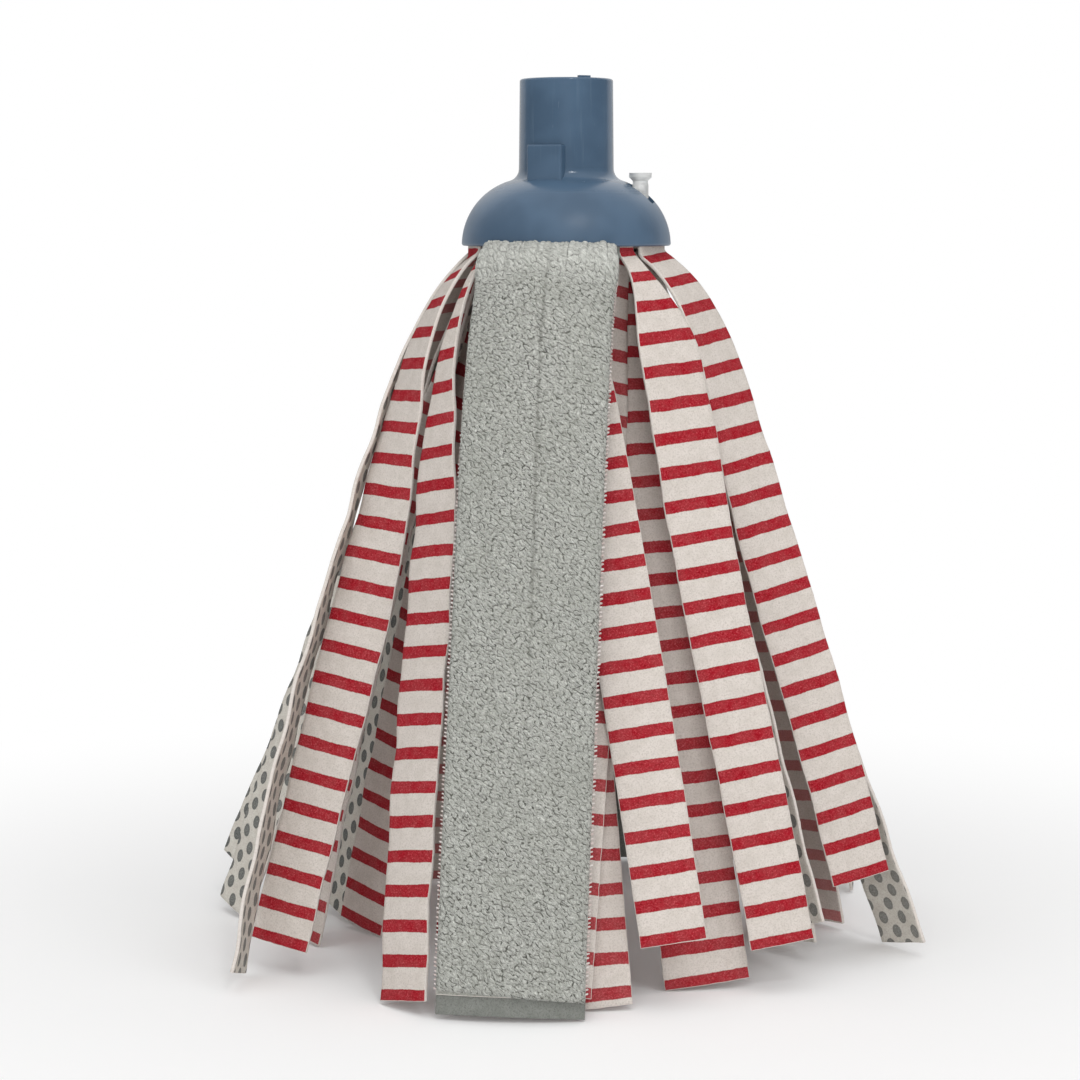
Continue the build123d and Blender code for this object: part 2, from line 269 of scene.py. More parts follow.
dotPrint, given, put = newGroup(
    "dotPrint",
    [("Place", "Vector", None), ("Pitch", "Float", 8.6), ("Row", "Float", 4.75),
     ("Wide", "Float", 2.0), ("Tall", "Float", 2.3)],
    [("Ink", "Float"), ("Rim", "Float")],
)
tree = dotPrint
across, along, _ = addNode(tree, "SeparateXYZ", {0: given["Place"]}).outputs
step = calc(tree, "DIVIDE", along, given["Row"])
row = calc(tree, "FLOOR", step)
odd = calc(tree, "PINGPONG", row, 1.0)
column = calc(tree, "MULTIPLY_ADD", odd, 0.5, calc(tree, "DIVIDE", across, given["Pitch"]))
cell = addNode(tree, "CombineXYZ", {0: calc(tree, "FLOOR", column), 1: row}).outputs[0]
chance = addNode(tree, "TexWhiteNoise", {"Vector": cell}).outputs["Color"]
shake = addNode(tree, "SeparateXYZ", {0: chance}).outputs
dotStray = 0.05


# how far from the dot's middle, in radii of the dot
def fromMiddle(tree, counted, chance, spacing, radius):
    middle = calc(tree, "MULTIPLY_ADD", chance, dotStray, 0.5 - dotStray / 2)
    away = calc(tree, "SUBTRACT", calc(tree, "FRACT", counted), middle)
    return calc(tree, "DIVIDE", calc(tree, "MULTIPLY", away, spacing), radius)


fromX = fromMiddle(tree, column, shake[0], given["Pitch"], given["Wide"])
fromY = fromMiddle(tree, step, shake[1], given["Row"], given["Tall"])
offset = addNode(tree, "CombineXYZ", {0: fromX, 1: fromY}).outputs[0]
reach = addNode(tree, "VectorMath", {0: offset}, operation="LENGTH").outputs["Value"]
ragged = calc(tree, "SUBTRACT", noiseValue(tree, given["Place"], 1.6, 3.0, 0.7), 0.5)
reach = calc(tree, "MULTIPLY_ADD", ragged, 0.3, reach)
tree.links.new(remap(tree, reach, 0.86, 1.04, 1.0, 0.0), put["Ink"])
tree.links.new(remap(tree, reach, 0.55, 0.9), put["Rim"])

# the pit colours are painted shade for the low pits of the felt; the deep colours go on print rims and, as
# painted shade, into those pits
tint = {
    "white": srgb(217, 209, 202), "shade": srgb(207, 199, 191), "pitShade": srgb(190, 181, 173),
    "red": srgb(162, 8, 32), "redLitAndWornFibre": srgb(198, 84, 92), "redDeepAndShade": srgb(126, 0, 14),
    "cream": srgb(217, 214, 205), "creamShade": srgb(206, 201, 191), "grey": srgb(106, 108, 106),
    "greyLitAndWornFibre": srgb(146, 147, 144), "greyDeepAndShade": srgb(76, 78, 77), "edge": srgb(218, 212, 206),
}


# ink is (body, fibre, deep) of the printed colour; fibre shows at lit specks, partly painted highlight, and
# at worn fibres; deep shows at print rims and as painted shade in pits
def feltMaterial(name, ground, groundShade, pitShade, ink=None, printGroup=None, strength=1.0, litShare=0.7):
    material, tree, shader = newMaterial(name, Roughness=0.95, Specular_IOR_Level=0.06)
    place = addNode(tree, "UVMap", uv_map="cloth").outputs[0]
    fibres = useGroup(tree, feltFibres, Place=place, Fineness=1.5)
    colour = mixColour(tree, remap(tree, fibres["Mottle"], 0.3, 0.72), ground, groundShade)
    # painted shade in the low pits of the felt
    colour = mixColour(tree, calc(tree, "MULTIPLY", fibres["PitShade"], 0.8), colour, pitShade)
    height = fibres["Height"]
    if printGroup:
        printed = useGroup(tree, printGroup, Place=place)
        worn = addNode(tree, "Attribute", attribute_name="wear").outputs["Fac"]
        # the fibre colour shows at lit specks, painted highlight, and more where the strip is worn
        litAndWornShare = calc(tree, "MULTIPLY_ADD", worn, 0.8, litShare)
        litAndWornFleck = calc(tree, "MULTIPLY", fibres["LitSpeck"], litAndWornShare, clamp=True)
        inked = mixColour(tree, litAndWornFleck, ink[0], ink[1])
        # deep is the print's rim and, as painted shade, the felt's pits
        deep = calc(tree, "MULTIPLY", calc(tree, "MAXIMUM", fibres["PitShade"], printed["Rim"]), 0.75)
        inked = mixColour(tree, deep, inked, ink[2])
        patch = remap(tree, fibres["Mottle"], 0.35, 0.7, 0.96, 1.0)
        mask = calc(tree, "MULTIPLY", printed["Ink"], calc(tree, "MULTIPLY", patch, strength))
        mask = calc(tree, "MULTIPLY", mask, calc(tree, "MULTIPLY_ADD", worn, -0.3, 1.0))
        colour = mixColour(tree, mask, colour, inked)
        height = calc(tree, "MULTIPLY_ADD", mask, -0.12, height)
    tree.links.new(colour, shader["Base Color"])
    tree.links.new(addBump(tree, height, 0.6, 0.0004), shader["Normal"])
    return material


whiteFelt = (tint["white"], tint["shade"], tint["pitShade"])
creamFelt = (tint["cream"], tint["creamShade"], tint["pitShade"])
redInk = (tint["red"], tint["redLitAndWornFibre"], tint["redDeepAndShade"])
paleRedInk = (srgb(176, 48, 60), srgb(196, 92, 98), srgb(158, 32, 46))
greyInk = (tint["grey"], tint["greyLitAndWornFibre"], tint["greyDeepAndShade"])
stripedFace = feltMaterial("stripedFace", *whiteFelt, redInk, stripePrint)
stripedBack = feltMaterial("stripedBack", *whiteFelt, paleRedInk, stripePrint, strength=0.75, litShare=0.6)
dottedFace = feltMaterial("dottedFace", *creamFelt, greyInk, dotPrint)
dottedBack = feltMaterial("dottedBack", *creamFelt, greyInk, dotPrint, strength=0.85, litShare=0.6)
cutEdge = feltMaterial("cutEdge", tint["edge"], tint["white"], tint["shade"])
backingFelt = feltMaterial("backingFelt", srgb(140, 142, 137), srgb(127, 129, 124), srgb(108, 110, 105))
backingEdge = feltMaterial("backingEdge", srgb(138, 139, 136), srgb(120, 121, 118), srgb(100, 101, 98))
pileGround = feltMaterial("pileGround", srgb(176, 176, 169), srgb(160, 160, 153), srgb(130, 130, 122))
gatherFelt = feltMaterial("gatherFelt", srgb(205, 196, 188), srgb(176, 160, 154), srgb(150, 134, 128))
print("cloth finishes made")


# hangs cloth by the same rule as the solids: all in mm, front at angle 0, right side positive;
# facedBy, flatBy and the stretch values are shares of the hung length
hangRule = {
    "headsLow": 224.6, "trim": 224.4, "firstLayer": 30.2, "layerStep": 1.6, "gap": 0.3,
    "thickness": 1.2, "spread": 100.0, "hangRadius": 90.0, "rimInside": 30.15, "tuckTop": 227.4,
    "tuckIn": 2.5, "tuckUpright": 2.0, "facedBy": 0.6, "flatBy": 0.5, "stretchHeld": 0.1, "stretchFade": 0.25,
    "bulgePeak": (1 / 7) * (6 / 7) ** 6, "measured": 240,
}


def polar(angle, radius, height):
    turned = math.radians(angle)
    return Vector((radius * math.sin(turned), -radius * math.cos(turned), height))


# the spine is a bowed curve from the fold to the tip, t from 0 to 1, with a bulge at the shoulder
class Hang:
    def __init__(self, root, layer, tip, reach, lift, face, belly, rootWidth, width, widens, bulge,
                 free, curved, sway=0.0, edges=None):
        rule = hangRule
        self.bulge = bulge
        self.edges = edges
        self.root, self.face = root, face
        self.rootRadius = rule["firstLayer"] - layer * rule["layerStep"]
        self.rootWidth, self.width, self.widens = rootWidth, width, widens
        self.rootBend = 1 / self.rootRadius if curved else 0.0
        self.start = polar(root, self.rootRadius, rule["trim"])
        self.end = polar(tip, rule["spread"] + reach, lift)
        self.bow(belly, sway)
        level = self.along(1).cross(self.across(1)).z
        low = abs(self.across(1).z) * width / 2 + abs(level) * rule["thickness"] / 2
        self.end = polar(tip, rule["spread"] + reach, lift + low)
        self.bow(belly, sway)
        if free:
            drop = rule["thickness"] / 2 + abs(self.across(0).z) * rootWidth / 2
            self.start = polar(root, self.rootRadius, rule["headsLow"] - rule["gap"] - drop)
            self.bow(belly, sway)
        self.measure()

    def bow(self, belly, sway):
        chord = self.end - self.start
        flat = Vector((chord.x, chord.y, 0))
        ahead = flat.normalized()
        rise = Vector((ahead.x * -chord.z, ahead.y * -chord.z, flat.length)) / chord.length
        aside = Vector((-ahead.y, ahead.x, 0))
        self.bend = (self.start + self.end) / 2 + rise * 2 * belly + aside * 2 * sway
        away = polar(self.root, -chord.z, flat.length)
        self.shoulder = away * (self.bulge / hangRule["bulgePeak"] / chord.length)

    def point(self, t):
        bowed = self.start * (1 - t) ** 2 + self.bend * (2 * t * (1 - t)) + self.end * (t * t)
        return bowed + self.shoulder * (t * (1 - t) ** 6)

    def along(self, t):
        step = ((self.bend - self.start) * (1 - t) + (self.end - self.bend) * t) * 2
        return (step + self.shoulder * ((1 - t) ** 5 * (1 - 7 * t))).normalized()

    def across(self, t):
        face = self.root + (self.face - self.root) * ease(t / hangRule["facedBy"])
        return polar(face, 1, 0).cross(self.along(t)).normalized()

    def breadth(self, t):
        return self.rootWidth + (self.width - self.rootWidth) * ease(t / self.widens)

    def halfWidth(self, t, side):
        if not self.edges:
            return self.breadth(t) / 2
        atRoot, widens, extra, peak = self.edges[0 if side < 0 else 1]
        extra *= ease(t / peak) * (1 - ease((t - peak - hangRule["stretchHeld"]) / hangRule["stretchFade"]))
        return atRoot + (self.width / 2 - atRoot) * ease(t / widens) + extra

    def crown(self, t):
        return self.rootBend + (1 / hangRule["hangRadius"] - self.rootBend) * ease(t / hangRule["flatBy"])

    def measure(self):
        steps = hangRule["measured"]
        points = [self.point(i / steps) for i in range(steps + 1)]
        self.runs = [0.0]
        for first, second in zip(points, points[1:]):
            self.runs.append(self.runs[-1] + (second - first).length)
        self.length = self.runs[-1]

    def shareAt(self, run):
        return float(np.interp(run, self.runs, np.linspace(0, 1, len(self.runs))))

    # run is counted from the fold; below zero the cloth is tucked up under the rim
    def place(self, side, run, lift=0.0):
        if run >= 0:
            t = self.shareAt(run)
            spine, ahead, wide = self.point(t), self.along(t), self.across(t)
        else:
            t = 0.0
            ahead, wide = self.along(0), self.across(0)
            rise = -run
            tucked = ease(rise / hangRule["tuckIn"])
            inside = min(self.rootRadius, hangRule["rimInside"])
            radius = self.rootRadius + (inside - self.rootRadius) * tucked
            spine = polar(self.root, radius, self.start.z + rise)
            wide = Vector((wide.x, wide.y, wide.z * (1 - tucked))).normalized()
            upright = ease(rise / hangRule["tuckUpright"])
            ahead = Vector((0, 0, -1)).lerp(ahead, 1 - upright).normalized()
        out = ahead.cross(wide).normalized()
        half = self.halfWidth(t, side)
        sag = self.crown(t) * half * half * side * side / 2
        return spine + wide * (half * side) + out * (lift - sag), out, wide, ahead


def addGrid(name, columns, rows):
    deselectAll()
    bpy.ops.mesh.primitive_grid_add(x_subdivisions=columns, y_subdivisions=rows, size=2.0,
                                    location=(0, 0, 0))
    grid = bpy.context.object
    grid.name = grid.data.name = name
    return grid


sheetLook = {"edgeRound": 0.18, "roundOver": 50, "smoothUnder": 60}


# one grid becomes one cloth piece; shape gives place and cloth coordinates
# from side -1..1 and share 0..1, which counts from the tip
def clothSheet(name, columns, rows, shape, thickness, materials, wear=0.0, edgeRound=sheetLook["edgeRound"]):
    sheet = addGrid(name, columns, rows)
    mesh = sheet.data
    cloth = []
    for vertex in mesh.vertices:
        side, share = vertex.co.x, (vertex.co.y + 1) / 2
        place, flat = shape(side, share)
        vertex.co = place * mm
        cloth.append(flat)
    layer = mesh.uv_layers.active
    layer.name = "cloth"
    for loop in mesh.loops:
        layer.uv[loop.index].vector = cloth[loop.vertex_index]
    for material in materials:
        mesh.materials.append(material)
    worn = mesh.attributes.new("wear", "FLOAT", "POINT")
    worn.data.foreach_set("value", np.full(len(mesh.vertices), wear, np.float32))
    back = min(1, len(materials) - 1)
    applyModifier(sheet, "SOLIDIFY", thickness=thickness * mm, offset=0.0, use_even_offset=True,
                  material_offset=back, material_offset_rim=len(materials) - 1)
    if edgeRound:
        applyModifier(sheet, "BEVEL", width=edgeRound * mm, segments=1, limit_method="ANGLE",
                      angle_limit=math.radians(sheetLook["roundOver"]), material=len(materials) - 1)
    smoothByAngle(sheet, sheetLook["smoothUnder"])
    return sheet


# the cloth waves along and rocks across, less so within calm of the fold;
# the shifts give each strip its own part of the print
stripCloth = {
    "width": 20.0, "wideWidth": 26.5, "thickness": 1.1, "rowStep": 1.7, "columns": 14, "widens": 0.25,
    "tuck": 4.0, "fixedTuck": 0.25, "dottedTuck": 1.6, "wave": 0.28, "waveRun": 34.0, "rock": 0.22,
    "rockRun": 23, "grain": 0.2, "calm": 60, "skew": 0.7, "skewRun": 12, "ragged": 0.16,
    "shiftAcross": 60, "shiftAlong": 103, "seed": 100, "bendAbove": 2.0, "bendShare": 0.06,
}
fullTurn = 6.28

# name, root, layer, tip, reach, lift, face, belly, root width, first stripe from the tip, wear
stripedRows = [
    ("a", -75, 0, -61.5, 2.6, 7.5, -25, 3, 14, 1.7, 0.06),
    ("b", -77, 1.8, -83, -13, 0, -50, 5, 8, 2.6, 0.2),
    ("c", -58, 0.2, -29.3, 1, 0.8, -45, 3, 3, 1.5, 0.05),
    ("d", -58, 3.0, -90, -32, 0, -45, 1, 16, 2.2, 0.1),
    ("e", -43, 1.2, -19.4, -10, 21, -15, 0, 16, 3.0, 0.1),
    ("f", 30, 2.2, -2, -6, 5, 0, -1.5, 16, 1.5, 0.25),
    ("g", -16, 3.2, 6, -11, 0, 5, -2, 16, 4.0, 0.2),
    ("h", -8, 1.1, 20, -8, 18.5, 5, 2.5, 16, 1.8, 0.06),
    ("i", 36, 4.4, 33, -21, 0, 10, 0, 16, 1.6, 0.12),
    ("j", 37, 0, 43, -4, 13.5, 12, 3, 6, 1.3, 0.04),
    ("k", 62, 0, 66.7, 1, 26, 22, 5, 17, 1.7, 0.05),
]
dottedRows = [
    ("a", -97, -0.2, -59, 19, 0.6, -94.4, 6.4, 4, 0.7, 0.05),
    ("b", -78, 4.3, -103, -22, 0, -60, 1, 16, 1.4, 0.1),
    ("c", -118, 3.3, -107, 17, 11, -50, 0, 12, 2.1, 0.05),
    ("d", -116, 2.2, -101, 14, 0, -55, 5, 12, 0.2, 0.25),
]
looseStrips = {"striped": "acjk", "dotted": "a"}
slowWidening = {("dotted", "a"): 0.8}
sideSway = {("striped", "c"): -4.0, ("dotted", "a"): -7.0}
bulges = {
    ("striped", "a"): 8.0,
    ("striped", "c"): 6.5,
    ("striped", "j"): 8.0,
    ("striped", "k"): 8.0,
    ("dotted", "a"): 5.5,
}
# left and right: half width at the fold, how soon it is full,
# how much it is stretched further down and where
looseEdges = {
    ("striped", "a"): ((7.0, 0.3, 1.2, 0.5), (7.0, 0.06, 0.0, 0.1)),
    ("striped", "c"): ((1.5, 0.34, 0.0, 0.1), (1.5, 0.42, 0.0, 0.1)),
    ("striped", "j"): ((3.0, 0.16, 0.8, 0.14), (3.0, 0.16, 1.0, 0.14)),
    ("striped", "k"): ((8.5, 0.08, 1.0, 0.14), (9.0, 0.1, 0.0, 0.1)),
}
farEdges = {
    ("striped", "j"): ((2.6, 0.2, 0.0, 0.1), (3.0, 0.3, 0.0, 0.1)),
    ("striped", "k"): ((6.0, 0.12, 0.0, 0.1), (7.0, 0.12, 0.0, 0.1)),
}
# how far the print is drawn out along the strip
drawnOut = {("striped", "j"): 1.014, ("striped", "c"): 1.006}
farSide = {
    ("striped", "j"): dict(tip=35, face=28),
    ("striped", "k"): dict(root=57, tip=50, face=42, rootWidth=12),
    ("dotted", "c"): dict(tip=-119, reach=-15),
    ("dotted", "d"): dict(root=-115, tip=-101, reach=11.5, belly=2),
}
stripFinish = {
    "striped": [stripedFace, stripedBack, cutEdge],
    "dotted": [dottedFace, dottedBack, cutEdge],
}


def hangStrip(kind, side, row, number):
    name, root, layer, tip, reach, lift, face, belly, rootWidth, firstStripe, wear = row
    key = (kind, name)
    turn = 180 if side == "back" else 0
    free = name in looseStrips[kind]
    width = stripCloth["wideWidth"] if key == ("striped", "i") else stripCloth["width"]
    edges = looseEdges.get(key)
    hung = dict(root=root, layer=layer, tip=tip, reach=reach, lift=lift, face=face, belly=belly,
                rootWidth=rootWidth)
    if turn:
        edges = farEdges.get(key, edges)
        hung.update(farSide.get(key, {}))
    for angle in ("root", "tip", "face"):
        hung[angle] += turn
    widens = slowWidening.get(key, stripCloth["widens"])
    hang = Hang(**hung, width=width, widens=widens, bulge=bulges.get(key, 0.0), free=free, curved=not free,
                sway=sideSway.get(key, 0.0), edges=edges)
    draw = random.Random(stripCloth["seed"] + number)
    phase = draw.uniform(0, fullTurn)
    skew = draw.uniform(-stripCloth["skew"], stripCloth["skew"])
    drawn = drawnOut.get(key, 1.0)
    if not free:
        tuck = stripCloth["fixedTuck"]
    elif kind == "dotted":
        tuck = stripCloth["dottedTuck"]
    else:
        tuck = min(stripCloth["tuck"], hangRule["tuckTop"] - hang.start.z)
    total = hang.length + tuck
    rows = int(total / stripCloth["rowStep"])

    def shape(sidePart, share):
        fromTip = share * total
        run = hang.length - fromTip
        low = ease(run / stripCloth["calm"])
        wave = stripCloth["wave"] * low * math.sin(run / stripCloth["waveRun"] * fullTurn + phase)
        rocking = math.sin(run / stripCloth["rockRun"] * fullTurn + 2 * phase)
        wave += stripCloth["rock"] * low * sidePart * rocking
        grain = noise.noise(Vector((sidePart * 2, run * 0.12, number * 7.3)))
        run -= skew * sidePart * (1 - ease(fromTip / stripCloth["skewRun"]))
        if fromTip < 0.01:
            run += stripCloth["ragged"] * noise.noise(Vector((sidePart * 9, number * 3.1, 0))) * 1.5
        run = min(run, hang.length)
        place, _, wide, _ = hang.place(sidePart, run, wave + stripCloth["grain"] * low * grain)
        if abs(sidePart) > 0.99:
            frayed = noise.noise(Vector((run * 0.9, sidePart, number * 5.7)))
            place = place + wide * (stripCloth["ragged"] * frayed)
        half = hang.halfWidth(hang.shareAt(max(run, 0.0)), sidePart)
        across = sidePart * half + stripCloth["shiftAcross"] * number
        along = fromTip / drawn - firstStripe + stripCloth["shiftAlong"] * (number % 7)
        return place, (across, along)

    piece = clothSheet("{}Cloth.{}.{}".format(kind, side, name), stripCloth["columns"], rows, shape,
                       stripCloth["thickness"], stripFinish[kind], wear)
    node = "{}_strip_{}_{}".format(kind, side, name)
    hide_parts(node)
    if free:
        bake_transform(piece)
    else:
        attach(piece, "head")


count = 0
for side in ("front", "back"):
    for kind, rows in (("striped", stripedRows), ("dotted", dottedRows)):
        for row in rows:
            hangStrip(kind, side, row, count)
            count += 1
print("strips hung:", count)


bandCloth = {
    "width": 44.0, "thickness": 1.2, "ground": 1.0, "apart": 0.3, "pileBase": 0.5, "tail": 5.8, "tilt": 1.1,
    "columns": 24, "rowStep": 2.2, "tuck": 3.0, "groundTop": 0.4, "shiftAcross": 400, "seed": 900,
    "bendAbove": 1.0, "bendShare": 0.08,
}
bandHang = {
    "root": -12.0, "layer": -0.5, "tip": -9.9, "reach": 1, "lift": 0.6, "face": -3, "belly": 5,
    "rootWidth": 43.0, "width": bandCloth["width"], "widens": 0.25, "bulge": 6.0,
}
# the roll is where the pile turns over the rim
pileLook = {
    "columns": 110, "rowStep": 0.42, "high": 3.1, "edge": 2.4, "slant": 36.0, "long": 2.5, "short": 1.25,
    "roll": 9.0, "rollRun": 8.0, "rollOut": 36.4, "rollHigh": 0.22, "fullBy": 7, "rimRadius": 33.55,
    "rimHeight": 226.6, "corner": 3.0, "cornerIn": 1.5, "cornerDown": 3.0, "smoothed": 60,
    "seamAt": 1.9, "seamWide": 0.5, "seamFrom": 110, "seamFade": 60,
    "uneven": ((0.6, 5), (0.5, 17), (0.5, 48)), "seed": 31.0, "seedStep": 7, "shiftAcross": 20,
}
overlock = {
    "pitch": 1.3, "wide": 0.8, "high": 0.85, "thread": 0.26,
    "from": 4.5, "short": 4, "stray": 0.15, "lean": 0.35,
}

threadWhite, tree, shader = newMaterial("overlockThread", Roughness=0.8, Specular_IOR_Level=0.2,
                                        Sheen_Weight=0.15)
toneAndShade = addNode(tree, "Attribute", attribute_name="toneAndShade").outputs["Fac"]
twist = noiseValue(tree, addNode(tree, "TexCoord").outputs["Object"], 2600.0)
tree.links.new(mixColour(tree, toneAndShade, srgb(226, 221, 217), srgb(206, 190, 184)), shader["Base Color"])
tree.links.new(addBump(tree, twist, 0.5, 0.0002), shader["Normal"])

# the nap lies to the lower right and parts in short creases; the creases are painted shade, and the strands
# are lighter where they stand high, partly yarn tone and partly painted highlight
pileNap, given, put = newGroup(
    "pileNap",
    [("Place", "Vector", None)],
    [("CreaseShade", "Float"), ("StrandAndHighlight", "Float"), ("Height", "Float")],
)
tree = pileNap
sway = addNode(tree, "TexNoise", {"Vector": given["Place"], "Scale": 0.45, "Detail": 1.0}).outputs["Color"]
sway = addNode(tree, "VectorMath", {0: sway, 1: (0.5, 0.5, 0.5)}, operation="SUBTRACT").outputs[0]
swayed = {0: sway, 1: (1.6, 1.6, 0), 2: given["Place"]}
place = addNode(tree, "VectorMath", swayed, operation="MULTIPLY_ADD").outputs[0]
lying = stretched(tree, place, (1 / pileLook["long"], 1 / pileLook["short"], 1), pileLook["slant"])
apart = addNode(tree, "TexVoronoi", {"Vector": lying, "Scale": 1.0}, feature="DISTANCE_TO_EDGE",
                voronoi_dimensions="2D").outputs["Distance"]
gate = noiseValue(tree, stretched(tree, place, (0.9, 1.6, 1), pileLook["slant"]), 0.8, 2.0)
strandAndHighlight = noiseValue(tree, stretched(tree, place, (1.3, 4.2, 1), pileLook["slant"] + 8), 1.0, 3.0, 0.65, 0.8)
creaseShade = calc(tree, "MULTIPLY", remap(tree, apart, 0.02, 0.16, 1.0, 0.0), remap(tree, gate, 0.4, 0.62))
height = calc(tree, "MULTIPLY_ADD", strandAndHighlight, 0.6, remap(tree, apart, 0.0, 0.4, 0.0, 0.7))
tree.links.new(creaseShade, put["CreaseShade"])
tree.links.new(strandAndHighlight, put["StrandAndHighlight"])
tree.links.new(height, put["Height"])

pileYarn, tree, shader = newMaterial("pileYarn", Roughness=0.95, Specular_IOR_Level=0.08, Sheen_Weight=0.1,
                                     Sheen_Roughness=0.5)
toneAndShade = addNode(tree, "Attribute", attribute_name="toneAndShade").outputs["Fac"]
place = addNode(tree, "UVMap", uv_map="cloth").outputs[0]
nap = useGroup(tree, pileNap, Place=place)
patch = noiseValue(tree, place, 0.07, 2.0)
# painted highlight: lighter where the strands stand high, partly yarn tone
yarn = mixColour(tree, remap(tree, nap["StrandAndHighlight"], 0.34, 0.66), srgb(141, 142, 135), srgb(213, 214, 208))
# painted shade: darker in the hollows of the nap, where the mesh's tone is low
yarn = mixColour(tree, remap(tree, toneAndShade, 0.0, 0.6, 0.5, 0.0), yarn, srgb(118, 118, 111))
# painted shade in the creases of the nap
yarn = mixColour(tree, nap["CreaseShade"], yarn, srgb(76, 76, 70))
yarn = mixColour(tree, remap(tree, patch, 0.35, 0.7, 0.0, 0.22), yarn, srgb(158, 160, 150))
# painted highlight: the pile is lighter near the top of the band, fading out 16 mm down
down = addNode(tree, "SeparateXYZ", {0: place}).outputs[1]
yarn = mixColour(tree, remap(tree, down, 2.0, 16.0, 0.35, 0.0), yarn, srgb(222, 223, 217))
tree.links.new(yarn, shader["Base Color"])
tree.links.new(addBump(tree, nap["Height"], 0.9, 0.0007), shader["Normal"])


def loopShape():
    deselectAll()
    bpy.ops.mesh.primitive_torus_add(major_segments=10, minor_segments=5, major_radius=1.0,
                                     minor_radius=overlock["thread"], generate_uvs=True)
    return bpy.context.object


# copies of one small shape in one mesh; spots are (origin, x axis, y axis, z axis, tone), all in mm
def copyAll(name, model, spots, material):
    mesh = model.data
    corners = np.array([v.co for v in mesh.vertices])
    faces = [list(p.vertices) for p in mesh.polygons]
    mapped = np.array([loop.vector for loop in mesh.uv_layers.active.uv])
    mapped = (mapped - mapped.min(0)) / np.ptp(mapped, axis=0).max()
    cells = math.ceil(math.sqrt(len(spots)))
    margin = 0.04
    mapped = mapped * (1 - 2 * margin) + margin
    allCorners, allFaces, allMapped, tonesAndShade = [], [], [], []
    for i, (origin, xAxis, yAxis, zAxis, toneAndShade) in enumerate(spots):
        axes = np.array([xAxis, yAxis, zAxis])
        allCorners.append((corners @ axes + np.array(origin)) * mm)
        allFaces += [[v + i * len(corners) for v in face] for face in faces]
        allMapped.append((mapped + np.array([i % cells, i // cells])) / cells)
        tonesAndShade.append(np.full(len(corners), toneAndShade))
    copies = bpy.data.meshes.new(name)
    copies.from_pydata(np.concatenate(allCorners).tolist(), [], allFaces)
    layer = copies.uv_layers.new(name="OFBake")
    layer.uv.foreach_set("vector", np.concatenate(allMapped).astype(np.float32).ravel())
    toned = copies.attributes.new("toneAndShade", "FLOAT", "POINT")
    toned.data.foreach_set("value", np.concatenate(tonesAndShade).astype(np.float32))
    copies.materials.append(material)
    copies.polygons.foreach_set("use_smooth", [True] * len(copies.polygons))
    piece = bpy.data.objects.new(name, copies)
    bpy.context.scene.collection.objects.link(piece)
    return piece


# gives height in mm and tone; tone is lower where the nap is low, which is painted shade in the hollows
# between lumps, and it is also darker along the seam
def napAt(x, run, seed):
    slant = math.radians(pileLook["slant"])
    u = x * math.cos(slant) + run * math.sin(slant)
    v = run * math.cos(slant) - x * math.sin(slant)
    lump = noise.noise(Vector((u * 0.42, v * 0.85, seed + 2)))
    fluff = noise.noise(Vector((x * 1.9, run * 1.9, seed + 3)))
    swell = noise.noise(Vector((x * 0.14, run * 0.14, seed + 4)))
    seam = math.exp(-((x - pileLook["seamAt"]) / pileLook["seamWide"]) ** 2)
    seam *= 1 - ease((run - pileLook["seamFrom"]) / pileLook["seamFade"])
    seam *= 0.7 + 0.8 * fluff
    high = 0.34 * lump + 0.13 * fluff + 0.2 * swell - 0.5 * seam
    return high, 0.6 + 0.55 * lump + 0.3 * fluff - 0.8 * seam


